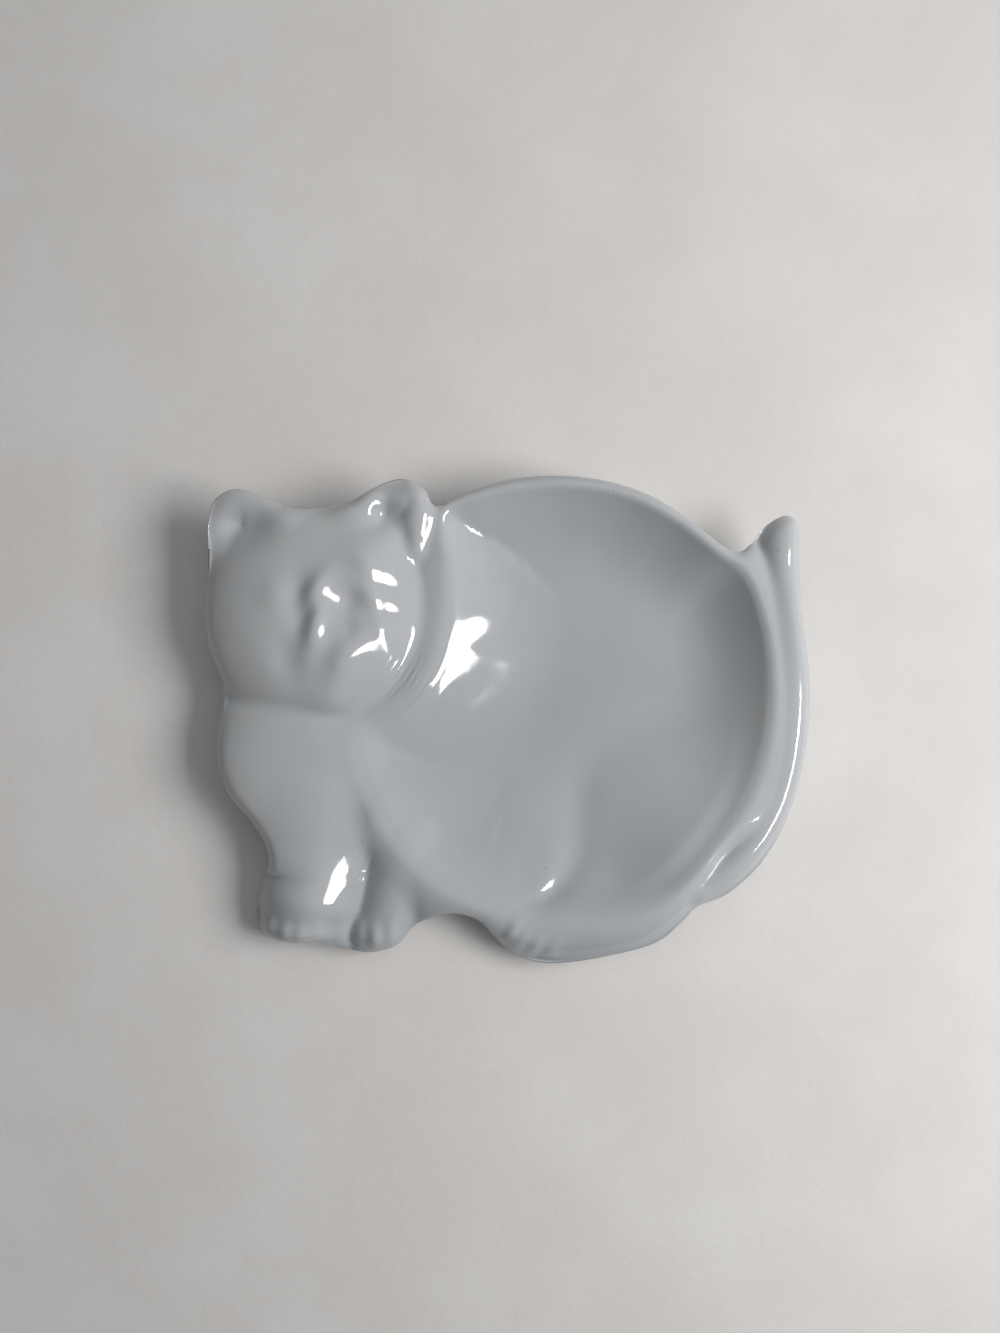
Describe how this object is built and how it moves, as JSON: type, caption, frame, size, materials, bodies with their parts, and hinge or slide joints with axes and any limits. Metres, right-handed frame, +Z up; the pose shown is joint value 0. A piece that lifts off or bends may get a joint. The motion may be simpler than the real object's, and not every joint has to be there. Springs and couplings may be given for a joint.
{
  "type": "tea bag rest",
  "caption": "Cat-shaped glazed porcelain tea bag rest: the lying cat's body is a shallow basin, with head, legs and tail around it, on an unglazed foot ring.",
  "frame": {"origin": "middle of the outline's bounding box, on the table under the foot ring", "axes": "+Z up out of the basin, +X from the cat's cheek to its tail, +Y from its hind foot to its back"},
  "size_m": [0.1152, 0.094, 0.0184],
  "materials": {
    "porcelain": "glossy clear glaze",
    "biscuit": "ground unglazed foot"
  },
  "bodies": {
    "root": {"dish": "porcelain", "head": "porcelain", "left_ear": "porcelain", "right_ear": "porcelain", "left_foreleg": "porcelain", "right_foreleg": "porcelain", "hind_leg": "porcelain", "tail": "porcelain", "foot_ring": "biscuit"}
  },
  "joints": []
}
